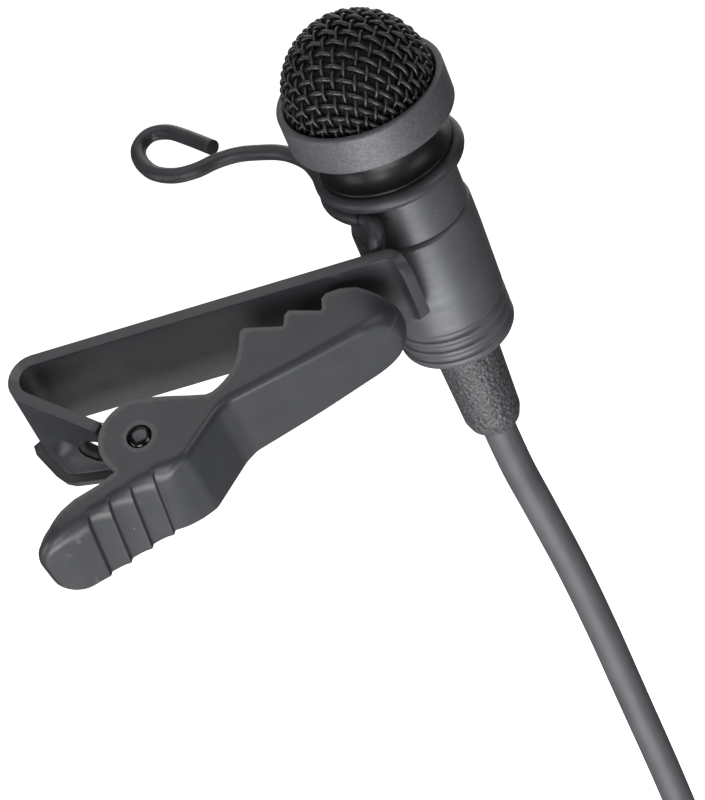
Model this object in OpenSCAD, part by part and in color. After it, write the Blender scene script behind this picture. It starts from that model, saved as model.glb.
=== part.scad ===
// Lavalier microphone in a spring clip, with its lead and 3.5 mm screw-lock plug.
// Millimetres, +Z up along the microphone's barrel. The origin is the grip point between the jaws.

/* [Head and barrel] */
// Outer diameter of the cap collar, which a windscreen pushes onto
collar_d = 10.4; // [10.2:0.1:10.6]
// Height of the cap collar
collar_h = 2.45; // [2.3:0.05:2.6]
// Outer radius of the woven dome
dome_r = 4.67; // [4.6:0.01:4.7]
// Diameter of the upper barrel, where the wire ring sits
barrel_d = 7.36; // [7.3:0.02:7.38]
// Diameter of the ridged rear body
rear_d = 7.7; // [7.5:0.1:7.9]
// Length from the dome's base down to the rear body's lower face
body_len = 19.9; // [19.6:0.1:20.2]

/* [Wire holder] */
// Diameter of the wire that forms the eyelet, ring and arm
wire_d = 1; // [0.9:0.05:1]
// Radius of the ring at the middle of its wire
ring_r = 4.25; // [4.25:0.01:4.3]

/* [Clip] */
// Width of the fixed jaw
jaw_w = 7.2; // [7:0.1:7.4]
// Thickness of the fixed jaw's strip
strip_t = 0.7; // [0.6:0.05:0.75]
// Wall thickness of the lever jaw
lever_t = 0.6; // [0.5:0.05:0.65]
// Radius of the rounded ear round the pivot
ear_r = 2.5; // [2.4:0.1:2.6]
// Radius of the pivot rivet's shank
pivot_r = 0.5; // [0.45:0.01:0.55]
// Lean of the clip away from the barrel's axis
clip_tilt = 20; // [19:0.5:21]

/* [Lead] */
// Diameter of the cable
cable_d = 2.2; // [2.1:0.05:2.2]
// Radius of the coil at the middle of its turns
coil_r = 11.95; // [11.9:0.05:12]

/* [Plug] */
// Radius of the jack plug's contacts
jack_r = 1.75; // [1.75]
// Outer radius of the plug's locking collar
lock_r = 4; // [3.9:0.1:4.2]

/* [Hidden] */
$fn = 64;
eps = 0.01;

// Colours
satin_black = [0.13, 0.13, 0.14];
dark_grey = [0.2, 0.2, 0.22];
steel = [0.6, 0.6, 0.62];
brass = [0.75, 0.6, 0.3];
board_green = [0.1, 0.3, 0.15];

// Places of the assemblies in the part's frame
head = [5.8, 5.2, 11];      // middle of the dome's base
clip_turn = -7;             // turn of the clip about its pivot's axis
grip = [13, 6.55];          // grip point seen from the pivot, in the clip's own plane

// ---- Paths and swept wires ----

function unit(v) = v / norm(v);
function tangent(p, i) = unit(p[min(i + 1, len(p) - 1)] - p[max(i - 1, 0)]);

// A normal carried along the path without twisting
function carried(p, i, n) =
  i == len(p) ? [] :
  let (t = tangent(p, i), m = unit(n - (n * t) * t))
  concat([m], carried(p, i + 1, m));

// One point of a smooth curve between b and c
function curve_point(a, b, c, d, s) =
  ((2 * b) + (c - a) * s + (2 * a - 5 * b + 4 * c - d) * s * s
   + (3 * b - a - 3 * c + d) * s * s * s) / 2;

// A smooth curve through every point of a list, with steps points between two of them
function smooth(p, steps) = [
  for (i = [0 : len(p) - 2], j = [0 : steps - 1])
    curve_point(p[max(i - 1, 0)], p[i], p[i + 1], p[min(i + 2, len(p) - 1)], j / steps),
  p[len(p) - 1]
];

// A round wire along a path, as one closed solid
module sweep(path, r, sides, first_normal) {
  normals = carried(path, 0, first_normal);
  last = len(path) - 1;
  points = [
    for (i = [0 : last], k = [0 : sides - 1])
      let (t = tangent(path, i), n = normals[i], a = 360 * k / sides)
      path[i] + r * (cos(a) * n + sin(a) * cross(t, n))
  ];
  walls = [
    for (i = [0 : last - 1], k = [0 : sides - 1])
      let (m = (k + 1) % sides)
      [i * sides + k, (i + 1) * sides + k, (i + 1) * sides + m, i * sides + m]
  ];
  near_end = [for (k = [0 : sides - 1]) k];
  far_end = [for (k = [sides - 1 : -1 : 0]) last * sides + k];
  polyhedron(points, concat(walls, [near_end, far_end]), convexity = 10);
}

// ---- Placing ----

module at_head() {
  translate(head) children();
}

module at_clip() {
  rotate([clip_tilt, 0, 0]) rotate([0, 0, clip_turn]) translate([-grip[0], -grip[1], 0]) children();
}

// A point given in the clip's own frame, seen from the head's middle
function clip_to_head(p) =
  let (
    q = [p[0] - grip[0], p[1] - grip[1], p[2]],
    a = [q[0] * cos(clip_turn) - q[1] * sin(clip_turn), q[0] * sin(clip_turn) + q[1] * cos(clip_turn), q[2]]
  )
  [a[0], a[1] * cos(clip_tilt) - a[2] * sin(clip_tilt), a[1] * sin(clip_tilt) + a[2] * cos(clip_tilt)] - head;

// A ring between two radii and two heights
module tube(r_out, r_in, z_low, z_high) {
  translate([0, 0, z_low]) difference() {
    cylinder(h = z_high - z_low, r = r_out);
    translate([0, 0, -1]) cylinder(h = z_high - z_low + 2, r = r_in);
  }
}

// ---- Microphone head, measured from the dome's base ----

collar_r = collar_d / 2;
barrel_r = barrel_d / 2;
rear_r = rear_d / 2;
collar_bore_r = 4.73;
neck_spigot_r = 4.15;
skirt_z = -5.05;
step_z = -9.6;

module mesh_dome() {
  color(satin_black) at_head() difference() {
    union() {
      sphere(r = dome_r);
      translate([0, 0, -1.4]) cylinder(h = 1.4, r = dome_r);
    }
    sphere(r = dome_r - 0.4);
    translate([0, 0, -8]) cylinder(h = 8, r = dome_r - 0.4);
    translate([0, 0, -11.4]) cylinder(h = 10, r = 6);
  }
}

module foam_liner() {
  color(dark_grey) at_head() difference() {
    union() {
      sphere(r = dome_r - 0.45);
      translate([0, 0, -0.85]) cylinder(h = 0.85, r = dome_r - 0.45);
    }
    sphere(r = dome_r - 0.85);
    translate([0, 0, -8]) cylinder(h = 8, r = dome_r - 0.85);
    translate([0, 0, -10.85]) cylinder(h = 10, r = 6);
  }
}

module cap_collar() {
  edge = 0.15;
  color(satin_black) at_head() rotate_extrude() polygon([
    [collar_bore_r, -edge / 2], [collar_bore_r + edge / 2, 0], [collar_r - edge, 0], [collar_r, -edge],
    [collar_r, -collar_h + edge], [collar_r - edge, -collar_h],
    [neck_spigot_r + 0.02, -collar_h], [neck_spigot_r + 0.02, -1.5], [collar_bore_r, -1.5]
  ]);
}

module capsule() {
  color(steel) at_head() difference() {
    translate([0, 0, -2.4]) cylinder(h = 2.7, r = 3);
    translate([0, 0, 0.1]) cylinder(h = 1, r = 0.9);
  }
}

module capsule_gasket() {
  color(dark_grey) at_head() {
    tube(3.6, 3.02, -2.42, 0.1);
    tube(3.6, 2.6, -2.55, -2.42);
  }
}

module capsule_leads() {
  color(brass) at_head() for (side = [-1, 1]) {
    translate([side * 1.2, 0, -8.58]) cylinder(h = 6.17, r = 0.2);
  }
}

module circuit_board() {
  color(board_green) at_head() {
    translate([-2, -0.4, -14.2]) cube([4, 0.8, 5.6]);
    translate([-1.2, 0.4, -12.6]) cube([1.6, 0.7, 1.4]);
    translate([0.2, -0.95, -11]) cube([1, 0.55, 1.6]);
  }
}

module neck() {
  waist_r = 3.35;
  waist_z = -3.7;
  color(satin_black) at_head() difference() {
    union() {
      translate([0, 0, -collar_h]) cylinder(h = collar_h - 1.55, r = neck_spigot_r);
      rotate_extrude() polygon(concat(
        [[0, -collar_h], [neck_spigot_r + 0.35, -collar_h]],
        [for (a = [80 : -20 : -80])
          [waist_r + 1.1 * (1 - cos(a)), waist_z + 1.25 * sin(a)]],
        [[4.2, skirt_z + 0.1], [4.2, skirt_z], [0, skirt_z]]
      ));
      translate([0, 0, -7]) cylinder(h = 2, r = 3.1);
    }
    translate([0, 0, -2.57]) cylinder(h = 3, r = 3.62);
    translate([0, 0, -8]) cylinder(h = 6, r = 2.5);
  }
}

module barrel() {
  color(dark_grey) at_head() difference() {
    translate([0, 0, step_z]) cylinder(h = skirt_z - eps - step_z, r = barrel_r);
    translate([0, 0, -7.2]) cylinder(h = 5, r = 3.12);
    translate([0, 0, -12]) cylinder(h = 8, r = 2.9);
  }
}

// Outline of the rear body: a step, a plain length, three beads and a rounded foot
ridge_z = [-17.1, -17.95, -18.8];
module rear_body() {
  color(dark_grey) at_head() difference() {
    union() {
      rotate_extrude() polygon([
        [0, step_z - 0.02], [barrel_r - 0.1, step_z - 0.02], [rear_r, step_z - 0.25],
        [rear_r, -12], [rear_r - 0.1, -16.9], [rear_r - 0.1, -19.1], [rear_r - 0.35, -19.6],
        [rear_r - 0.75, -body_len], [0, -body_len]
      ]);
      translate([0, 0, step_z - 1]) cylinder(h = 2.6, r = 2.87);
    }
    for (z = ridge_z) translate([0, 0, z]) rotate_extrude() translate([rear_r + 0.05, 0]) circle(r = 0.3, $fn = 24);
    translate([0, 0, -19.2]) cylinder(h = 20, r = 2.35);
    translate([0, 0, -19.2]) cylinder(h = 1.2, r = 2.65);
    translate([0, 0, -21]) cylinder(h = 4, r = 1.9);
  }
}

module cable_ferrule() {
  color(steel) at_head() tube(1.7, cable_d / 2 + 0.02, -17.9, -16);
}

boot_end = -27.6;
module strain_relief() {
  color(satin_black) at_head() difference() {
    rotate_extrude() polygon([
      [0, -18.1], [2.6, -18.1], [2.6, -19.15], [1.85, -19.15], [1.85, -body_len - 0.03],
      [2.12, -body_len - 0.03], [1.92, -25.8], [1.84, -26.5], [1.66, -27.1], [1.4, -27.5],
      [1.3, boot_end], [0, boot_end]
    ]);
    translate([0, 0, -30]) cylinder(h = 14, r = cable_d / 2 + 0.01);
  }
}

// ---- Lead ----

exit_z = head[2] + boot_end;
coil_centre = [-8.95, 5.95, -84];
turn_gap = 2.3;
// Route of the lead from inside the rear body down to the coil's outer turn
cable_route = [
  [5.8, 5.2, -5], [5.8, 5.2, -11], [5.8, 5.2, exit_z], [5.95, 5.2, -21], [6.3, 5.1, -25], [6.8, 4.8, -31],
  [7.1, 4.4, -37], [7.3, 3.8, -44], [7.5, 3.2, -51], [7.6, 2.7, -58], [7.6, 2.5, -64],
  [7.6, 2.5, -70], [7.6, 2.5, -77], [7.6, 2.5, -83]
];
// Route of the lead's other end, from the coil's inner turn down to the plug
tail_x = -1.6;
tail_y = 11.7;
tail_route = [
  [-3.75, 9.4, -78.8], [-2.4, 10.1, -81], [tail_x, 11.1, -84.5], [tail_x, tail_y, -89], [tail_x, tail_y, -95],
  [tail_x, tail_y, -101], [tail_x, tail_y, -107], [tail_x, tail_y, -113], [tail_x, tail_y, -118]
];
coil_out_r = coil_r + 2 * turn_gap + cable_d / 2;
coil_in_r = coil_r - 2 * turn_gap - cable_d / 2;
coil_half_y = 1.5 * turn_gap + cable_d / 2;

module cable() {
  color(satin_black) sweep(cable_route, cable_d / 2, 8, [1, 0, 0]);
}

module cable_end() {
  color(satin_black) sweep(tail_route, cable_d / 2, 8, [1, 0, 0]);
}

module cable_coil() {
  corner = 1;
  color(satin_black) translate(coil_centre) rotate([90, 0, 0]) rotate_extrude() polygon([
    [coil_in_r, -coil_half_y + corner], [coil_in_r + corner, -coil_half_y],
    [coil_out_r - corner, -coil_half_y], [coil_out_r, -coil_half_y + corner],
    [coil_out_r, coil_half_y - corner], [coil_out_r - corner, coil_half_y],
    [coil_in_r + corner, coil_half_y], [coil_in_r, coil_half_y - corner]
  ]);
}

module coil_tie() {
  tie_w = 5;
  tie_t = 0.6;
  room = 0.1;
  low = coil_in_r - 0.7 - room;
  high = coil_out_r + room;
  half_y = coil_half_y + room;
  color(dark_grey) translate(coil_centre) difference() {
    translate([-tie_w / 2, -half_y - tie_t, low - tie_t]) cube([tie_w, 2 * (half_y + tie_t), high - low + 2 * tie_t]);
    translate([-tie_w, -half_y, low]) cube([2 * tie_w, 2 * half_y, high - low]);
  }
}

// ---- Plug, measured down from the end of the lead ----

plug_top = -106;
shell_top = -9;
face_z = -22;
module at_plug() {
  translate([tail_x, tail_y, plug_top]) children();
}

module plug_boot() {
  color(satin_black) at_plug() difference() {
    rotate_extrude() polygon([[0, 0], [1.6, 0], [1.9, -0.4], [2.7, shell_top], [0, shell_top]]);
    translate([0, 0, -11]) cylinder(h = 12, r = cable_d / 2 + 0.01);
  }
}

module plug_shell() {
  color(steel) at_plug() difference() {
    rotate_extrude() polygon([
      [0, shell_top - eps], [3, shell_top - eps], [3.4, shell_top - 0.4], [3.4, -18.8],
      [3.15, -18.8], [3.15, face_z], [0, face_z]
    ]);
    translate([0, 0, -16]) cylinder(h = 8, r = 2.2);
  }
}

module locking_collar() {
  color(steel) at_plug() difference() {
    translate([0, 0, -26.2]) cylinder(h = 7.3, r = lock_r);
    translate([0, 0, -27]) cylinder(h = 9, r = 3.2);
    for (a = [0 : 15 : 345]) rotate(a) translate([lock_r + 0.2, 0, -25.6]) cylinder(h = 5.2, r = 0.35, $fn = 16);
  }
}

module plug_sleeve() {
  root_len = 4.3;
  color(steel) at_plug() translate([0, 0, face_z - 8]) {
    cylinder(h = 8 - root_len, r = jack_r);
    translate([0, 0, 8 - root_len - eps]) cylinder(h = root_len, r = jack_r + 0.2);
  }
}

module plug_ring() {
  color(steel) at_plug() translate([0, 0, face_z - 10.4]) cylinder(h = 1.9, r = jack_r);
}

module plug_tip() {
  color(steel) at_plug() translate([0, 0, face_z - 14]) rotate_extrude() polygon([
    [0, 0], [0.5, 0], [1.1, 0.5], [1.7, 1.35], [1.7, 1.55], [1.2, 2.1], [1.2, 2.3],
    [jack_r, 2.75], [jack_r, 3.1], [0, 3.1]
  ]);
}

module plug_insulators() {
  color(dark_grey) at_plug() for (z = [-8.49, -10.89]) {
    translate([0, 0, face_z + z]) cylinder(h = 0.48, r = jack_r);
  }
}

// ---- Clip, measured from the middle of its pivot, with the pivot along Z ----

half_w = jaw_w / 2;
plate_y = 6.9;               // the fixed jaw's inner face
bend_in_r = 1;
bend_centre = [-5.6, plate_y - bend_in_r];
leg_turn = 140;              // how far the strip turns into its return leg
leg_angle = 90 + leg_turn;
leg_full = 5.4;              // full-width length of the return leg
leg_all = 6.15;
tip_bend_x = 16.3;
tip_in_r = 0.6;
tip_turn = 65;
cheek_out = 2.9;             // outer faces of the fixed jaw's cheeks

// A sector of a ring, from one angle to another
module arc_strip(r_in, thick, from, to) {
  reach = r_in + thick + 1;
  intersection() {
    difference() {
      circle(r = r_in + thick);
      circle(r = r_in);
    }
    polygon(concat([[0, 0]], [for (i = [0 : 4]) let (a = from + (to - from) * i / 4) 1.2 * reach * [cos(a), sin(a)]]));
  }
}

// The strip's section up to the end of its full-width return leg
module jaw_strip() {
  translate([bend_centre[0], plate_y]) square([tip_bend_x - bend_centre[0], strip_t]);
  translate(bend_centre) arc_strip(bend_in_r, strip_t, 89, leg_angle + 1);
  translate(bend_centre) rotate(leg_angle) translate([bend_in_r, 0]) square([strip_t, leg_full]);
  translate([tip_bend_x, plate_y - tip_in_r]) {
    arc_strip(tip_in_r, strip_t, 91, 90 - tip_turn);
    rotate(90 - tip_turn) translate([tip_in_r, -0.5]) square([strip_t, 0.51]);
  }
}

// Plan of the strip with rounded corners at its tip
module jaw_plan() {
  end_x = 17.9;
  corner = 1.4;
  translate([-9, -half_w]) square([end_x + 9 - corner, jaw_w]);
  translate([0, -half_w + corner]) square([end_x, jaw_w - 2 * corner]);
  for (side = [-1, 1]) translate([end_x - corner, side * (half_w - corner)]) circle(r = corner);
}

module fixed_jaw() {
  lip_t = 0.7;
  lip_h = 0.85;
  color(satin_black) at_clip() difference() {
    union() {
      intersection() {
        translate([0, 0, -half_w]) linear_extrude(jaw_w) jaw_strip();
        translate([0, 20, 0]) rotate([90, 0, 0]) linear_extrude(40) jaw_plan();
      }
      // narrow end of the return leg between the lever's walls
      translate(bend_centre) rotate(leg_angle) translate([bend_in_r, leg_full - eps, -cheek_out])
        cube([strip_t, leg_all - leg_full + eps, 2 * cheek_out]);
      // cheeks that the pivot passes through
      for (side = [0, 1]) mirror([0, 0, side]) translate([0, 0, cheek_out - 0.6]) linear_extrude(0.6) {
        circle(r = 1.6);
        rotate(leg_angle - 90) translate([0, -0.9]) square([2.7, 1.6]);
      }
      // stiffening lip along the return leg's lower edge
      translate([0, 0, -half_w]) linear_extrude(lip_t) {
        translate(bend_centre) arc_strip(bend_in_r + strip_t - eps, lip_h, 178, leg_angle + 1);
        translate(bend_centre) rotate(leg_angle) polygon([
          [bend_in_r + strip_t - eps, 0], [bend_in_r + strip_t + lip_h, 0], [bend_in_r + strip_t + lip_h, 2.4],
          [bend_in_r + strip_t + 0.5, 3.4], [bend_in_r + strip_t - eps, 4.2]
        ]);
      }
    }
    translate([0, 0, -5]) cylinder(h = 10, r = pivot_r + 0.02);
    // slot in the return leg
    translate(bend_centre) rotate(leg_angle) translate([0, 3.7, 0]) rotate([0, 90, 0]) {
      for (y = [-0.5, 0.9]) translate([0.6, y, 0]) cylinder(h = 4, r = 0.9);
      translate([-0.3, -0.5, 0]) cube([1.8, 1.4, 4]);
    }
  }
}

// Side outline of the lever: teeth and tip above, back and thumb pad below
lever_side = [
  [0, 2.5], [-1.7, -1.8], [-2.8, -2.35], [-4.4, -2.9], [-6.2, -4.1], [-7.5, -4.9], [-7.6, -5.35],
  [-5.9, -5.15], [-4.2, -4.75], [-2.75, -4.2], [-1.35, -3.7], [0, -3.35], [1.5, -2.75], [2.3, -2.25],
  [3, -1.6], [4.25, -0.25], [5, 0.35], [5.8, 0.85], [10, 1.95], [14, 3.15], [15.5, 3.6], [16.2, 4.2],
  [16, 4.85], [15.3, 5.55], [14.3, 6.1], [13.3, 6.3], [12.4, 6.2], [12.05, 5.9], [12, 5.15],
  [10.05, 5.7], [9.75, 5.45], [9.6, 4.75], [7.35, 5.25], [6.95, 5], [6.85, 4.4], [6.5, 3.35],
  [5.9, 2.4], [5, 1.75], [4.3, 1.5], [2.1, 2.1], [1, 2.4]
];
// Inner face of the lever's back, a wall's thickness inside the outline
lever_floor = [
  [15.3, 4.25], [13.8, 3.72], [9.85, 2.53], [5.5, 1.4], [4.6, 0.8], [3.8, 0.15], [2.55, -1.2],
  [1.9, -1.75], [1.25, -2.2], [-0.2, -2.78], [-1.55, -3.13], [-2.95, -3.63], [-4.4, -4.18], [-6, -4.58], [-6.9, -4.75]
];
lever_tip_x = 16.8;
lever_end_x = -7.6;
taper_x = 2.6;               // the walls are parallel up to here and close in beyond

// Plan of the lever, moved in by a margin on every side
module lever_plan(margin) {
  corner = 2.6 - margin;
  w = half_w - margin;
  translate([lever_end_x + margin + corner, -w]) square([taper_x - lever_end_x - margin - corner, 2 * w]);
  translate([lever_end_x + margin, -w + corner]) square([corner + 0.1, 2 * (w - corner)]);
  for (side = [-1, 1]) translate([lever_end_x + margin + corner, side * (w - corner)]) circle(r = corner);
  polygon([
    [taper_x - eps, -w], [14.3, -2.85 + margin], [15.7, -2.3 + margin], [16.6 - margin, -1.2 + margin],
    [lever_tip_x - margin, 0], [16.6 - margin, 1.2 - margin], [15.7, 2.3 - margin], [14.3, 2.85 - margin],
    [taper_x - eps, w]
  ]);
}

module lever_jaw() {
  groove_x = [0.1, -1.3, -2.7, -4.15];
  color(satin_black) at_clip() difference() {
    intersection() {
      translate([0, 0, -half_w]) linear_extrude(jaw_w) {
        polygon(lever_side);
        circle(r = ear_r);
      }
      translate([0, 20, 0]) rotate([90, 0, 0]) linear_extrude(40) lever_plan(0);
    }
    intersection() {
      translate([0, 0, -half_w]) linear_extrude(jaw_w) polygon(concat(lever_floor, [[-6.9, 12], [15.3, 12]]));
      translate([0, 20, 0]) rotate([90, 0, 0]) linear_extrude(40) lever_plan(lever_t);
    }
    translate([0, 0, -5]) cylinder(h = 10, r = pivot_r + 0.05);
    for (x = groove_x) translate([x, -3.35 + 0.34 * (x - 0) - 0.3, -5]) cylinder(h = 10, r = 0.5, $fn = 24);
  }
}

module pivot_rivet() {
  head_z = half_w + 0.03;
  color(steel) at_clip() {
    translate([0, 0, -head_z - 0.1]) cylinder(h = 2 * head_z + 0.2, r = pivot_r);
    for (side = [0, 1]) mirror([0, 0, side]) translate([0, 0, head_z]) rotate_extrude() polygon(concat(
      [[0, 0]], [for (a = [0 : 15 : 90]) [0.72 * cos(a), 0.12 + 0.38 * sin(a)]]
    ));
  }
}

module torsion_spring() {
  spring_wire_r = 0.24;
  spring_r = 1.1;
  start = 60.8;
  helix = [for (i = [0 : 52]) let (a = start - 30 * i, z = 1.43 - 0.055 * i)
    [spring_r * cos(a), spring_r * sin(a), z]];
  jaw_leg = [[-3.27, 3.09, 1.46], [-1.4, 2.03, 1.45]];
  thumb_leg = [[-1.9, -2.42, -1.45], [-4.29, -3.86, -1.46]];
  color(steel) at_clip() sweep(concat(jaw_leg, helix, thumb_leg), spring_wire_r, 8, [0, 0, 1]);
}

// ---- Wire holder, measured from the dome's base ----

wire_r = wire_d / 2;
upper_z = skirt_z - 0.05 - wire_r;
lower_z = upper_z - wire_d - 0.05;
function turn_z(a) = a < 450 ? upper_z : a > 540 ? lower_z : upper_z + (lower_z - upper_z) * (1 - cos(2 * (a - 450))) / 2;
eyelet = [
  [-9.9, 8.7], [-11.1, 10.7], [-12.3, 12.4], [-13.5, 12.9], [-14.4, 12], [-14.5, 10.4], [-13.9, 8.6], [-12.7, 7.4],
  [-11.3, 7], [-10, 7.1], [-8.7, 6.9], [-7.5, 6.3], [-5.9, 5.1], [-4.75, 3.3], [-4.3, 1.5]
];

module wire_holder() {
  gap = 0.02;
  back_y = plate_y + strip_t + wire_r + gap;
  loop_path = smooth(concat([for (p = eyelet) [p[0], p[1], upper_z]], [[-ring_r, 0, upper_z]]), 3);
  ring_path = [for (a = [190 : 10 : 580]) [ring_r * cos(a), ring_r * sin(a), turn_z(a)]];
  arm_path = smooth([
    [ring_r * cos(590), ring_r * sin(590), lower_z],
    [-2.35, -3.95, lower_z - 0.05],
    [-2.35, -4.55, lower_z - 0.25],
    clip_to_head([15.95, back_y + 0.3, 3.5]),
    clip_to_head([15.7, back_y, 2.5]),
    clip_to_head([15.4, back_y, 1.3]),
    clip_to_head([14.6, back_y, 0.3]),
    clip_to_head([13, back_y, 0]),
    clip_to_head([8.5, back_y, 0])
  ], 3);
  color(satin_black) at_head() sweep(concat(loop_path, ring_path, arm_path), wire_r, 12, [0, 0, 1]);
}

mesh_dome();
foam_liner();
cap_collar();
capsule();
capsule_gasket();
capsule_leads();
circuit_board();
neck();
barrel();
rear_body();
cable_ferrule();
strain_relief();
cable();
cable_coil();
coil_tie();
cable_end();
plug_boot();
plug_shell();
locking_collar();
plug_sleeve();
plug_ring();
plug_tip();
plug_insulators();
fixed_jaw();
lever_jaw();
pivot_rivet();
torsion_spring();
wire_holder();
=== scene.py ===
"""Lavalier microphone in a spring clip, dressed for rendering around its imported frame."""

import math

import bmesh
import bpy
from mathutils import Matrix, Vector
from mathutils.geometry import delaunay_2d_cdt


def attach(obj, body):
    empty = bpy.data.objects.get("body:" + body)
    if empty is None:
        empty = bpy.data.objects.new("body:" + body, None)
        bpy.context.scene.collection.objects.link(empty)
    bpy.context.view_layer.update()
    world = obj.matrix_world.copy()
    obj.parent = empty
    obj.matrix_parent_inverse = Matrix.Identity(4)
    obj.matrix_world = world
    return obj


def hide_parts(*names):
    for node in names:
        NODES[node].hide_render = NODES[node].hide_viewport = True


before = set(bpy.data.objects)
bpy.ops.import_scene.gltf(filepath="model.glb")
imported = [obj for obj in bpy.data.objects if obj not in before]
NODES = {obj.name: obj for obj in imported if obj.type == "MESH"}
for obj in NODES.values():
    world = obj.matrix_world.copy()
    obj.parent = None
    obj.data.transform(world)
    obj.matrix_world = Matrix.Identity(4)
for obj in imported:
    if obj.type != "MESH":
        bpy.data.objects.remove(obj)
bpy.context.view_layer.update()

MM = 0.001
SCENE = bpy.context.scene

# ---- Camera ----

CAMERA_AT = (0.0058, -0.13369, 0.09962)
CAMERA_HEADING = -3.28
CAMERA_DOWN = 38.39
CAMERA_ROLL = -24.41
CAMERA_LENS = 125.39


def make_camera():
    heading = math.radians(CAMERA_HEADING)
    down = math.radians(CAMERA_DOWN)
    roll = math.radians(CAMERA_ROLL)
    forward = Vector((
        math.sin(heading) * math.cos(down),
        math.cos(heading) * math.cos(down),
        -math.sin(down),
    ))
    level_right = Vector((math.cos(heading), -math.sin(heading), 0))
    level_up = level_right.cross(forward)
    right = level_right * math.cos(roll) + level_up * math.sin(roll)
    up = right.cross(forward)
    data = bpy.data.cameras.new("camera")
    data.lens = CAMERA_LENS
    data.sensor_width = 36
    data.clip_start = 0.01
    data.clip_end = 20
    camera = bpy.data.objects.new("camera", data)
    facing = Matrix((right, up, -forward)).transposed().to_4x4()
    camera.matrix_world = Matrix.Translation(CAMERA_AT) @ facing
    SCENE.collection.objects.link(camera)
    SCENE.camera = camera


make_camera()

# ---- Places, in millimetres ----

HEAD = Vector((5.8, 5.2, 11))
CLIP_TILT = 20
CLIP_TURN = -7
GRIP = (13, 6.55)
CLIP_TO_ROW = (
    Matrix.Rotation(math.radians(CLIP_TILT), 4, "X")
    @ Matrix.Rotation(math.radians(CLIP_TURN), 4, "Z")
    @ Matrix.Translation((-GRIP[0], -GRIP[1], 0))
)
HEAD_TO_ROW = Matrix.Translation(HEAD)


def on_circle(radius, degrees):
    angle = math.radians(degrees)
    return radius * math.cos(angle), radius * math.sin(angle)


def smooth_path(points, steps):
    """A Catmull-Rom curve through every point."""
    points = [Vector(p) for p in points]
    last = len(points) - 1
    out = []
    for i in range(last):
        a, b, c, d = points[max(i - 1, 0)], points[i], points[i + 1], points[min(i + 2, last)]
        for j in range(steps):
            s = j / steps
            out.append((2 * b + (c - a) * s + (2 * a - 5 * b + 4 * c - d) * s ** 2
                        + (3 * b - a - 3 * c + d) * s ** 3) / 2)
    out.append(points[-1])
    return out


def smoothstep(low, high, x):
    s = min(1, max(0, (x - low) / (high - low)))
    return s * s * (3 - 2 * s)


# ---- Meshes ----


def mesh_object(name, vertices, faces, body, slot, material=None, node=None, place=None):
    """A mesh given in millimetres, in the frame that place takes to the row's own, which rides on a body.
    node is the CAD node or nodes that it stands for."""
    place = place or Matrix.Identity(4)
    mesh = bpy.data.meshes.new(name)
    mesh.from_pydata([(place @ Vector(v)) * MM for v in vertices], [], faces)
    tidy_mesh(mesh)
    mesh.shade_smooth()
    if material:
        mesh.materials.append(material)
    obj = bpy.data.objects.new(name, mesh)
    SCENE.collection.objects.link(obj)
    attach(obj, body)
    if node:
        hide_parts(*([node] if isinstance(node, str) else node))
    return obj


def tidy_mesh(mesh):
    work = bmesh.new()
    work.from_mesh(mesh)
    bmesh.ops.remove_doubles(work, verts=work.verts, dist=1e-7)
    bmesh.ops.dissolve_degenerate(work, edges=work.edges, dist=1e-7)
    bmesh.ops.recalc_face_normals(work, faces=work.faces)
    work.to_mesh(mesh)
    work.free()
    mesh.update()


def weight_normals(obj):
    obj.modifiers.new("weighted", "WEIGHTED_NORMAL").keep_sharp = True


def fillet(points, radii, arc_steps=5):
    """A closed outline with its corners rounded. radii has one number, or one for each point."""
    count = len(points)
    radii = radii if isinstance(radii, (list, tuple)) else [radii] * count
    out = []
    for i, (point, radius) in enumerate(zip(points, radii)):
        here = Vector(point)
        if radius <= 0:
            out.append(here)
            continue
        to_before = Vector(points[i - 1]) - here
        to_after = Vector(points[(i + 1) % count]) - here
        reach_limit = 0.49 * min(to_before.length, to_after.length)
        to_before.normalize()
        to_after.normalize()
        half = to_before.angle(to_after) / 2
        if half > math.radians(88):
            out.append(here)
            continue
        reach = min(radius / math.tan(half), reach_limit)
        round_r = reach * math.tan(half)
        middle = here + (to_before + to_after).normalized() * (round_r / math.sin(half))
        start = here + to_before * reach - middle
        end = here + to_after * reach - middle
        turn = start.angle_signed(end)
        for k in range(arc_steps + 1):
            out.append(middle + Matrix.Rotation(-turn * k / arc_steps, 2) @ start)
    return out


def tube_faces(rows, size, endless=False):
    """Faces of a tube made of rows rings that have size points each. An endless one joins its last ring
    to its first, and any other is closed at both ends."""
    faces = []
    for i in range(rows if endless else rows - 1):
        j = (i + 1) % rows
        for k in range(size):
            m = (k + 1) % size
            faces.append((i * size + k, i * size + m, j * size + m, j * size + k))
    if not endless:
        faces.append(tuple(reversed(range(size))))
        faces.append(tuple((rows - 1) * size + k for k in range(size)))
    return faces


def revolve(name, outline, steps, body, slot, material, node, place):
    """A closed outline of (radius, height) points turned round the Z axis."""
    vertices = []
    count = len(outline)
    for k in range(steps):
        vertices += [(*on_circle(p[0], 360 * k / steps), p[1]) for p in outline]
    off_axis = [p[0] > 1e-6 for p in outline]
    faces = [f for f in tube_faces(steps, count, True) if off_axis[f[0] % count] or off_axis[f[1] % count]]
    weight_normals(mesh_object(name, vertices, faces, body, slot, material, node, place))


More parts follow.
